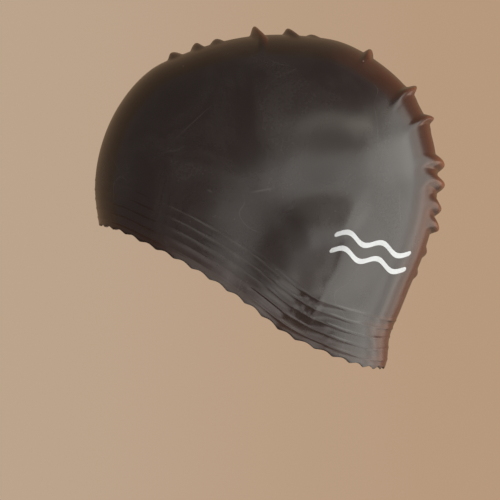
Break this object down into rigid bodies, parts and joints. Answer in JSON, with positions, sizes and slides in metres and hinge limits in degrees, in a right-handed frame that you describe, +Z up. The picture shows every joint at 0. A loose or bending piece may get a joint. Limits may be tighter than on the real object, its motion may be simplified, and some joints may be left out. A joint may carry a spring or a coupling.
{
  "type": "swim cap",
  "caption": "Black latex swim cap in its worn shape: thin domed shell with swells over the ears, puckers across the crown, ribs round the hem and a scalloped edge.",
  "frame": {"origin": "inside of the crown, on the middle line of the cap and halfway along the head, where the top of the head bears", "axes": "+Z up with the head upright, -Y out of the forehead, +X to the wearer's left"},
  "size_m": [0.1644, 0.196, 0.1914],
  "materials": {
    "latex": "black dipped latex with a soft sheen and a light haze of powder"
  },
  "bodies": {
    "root": {"cap": "latex"}
  },
  "joints": []
}
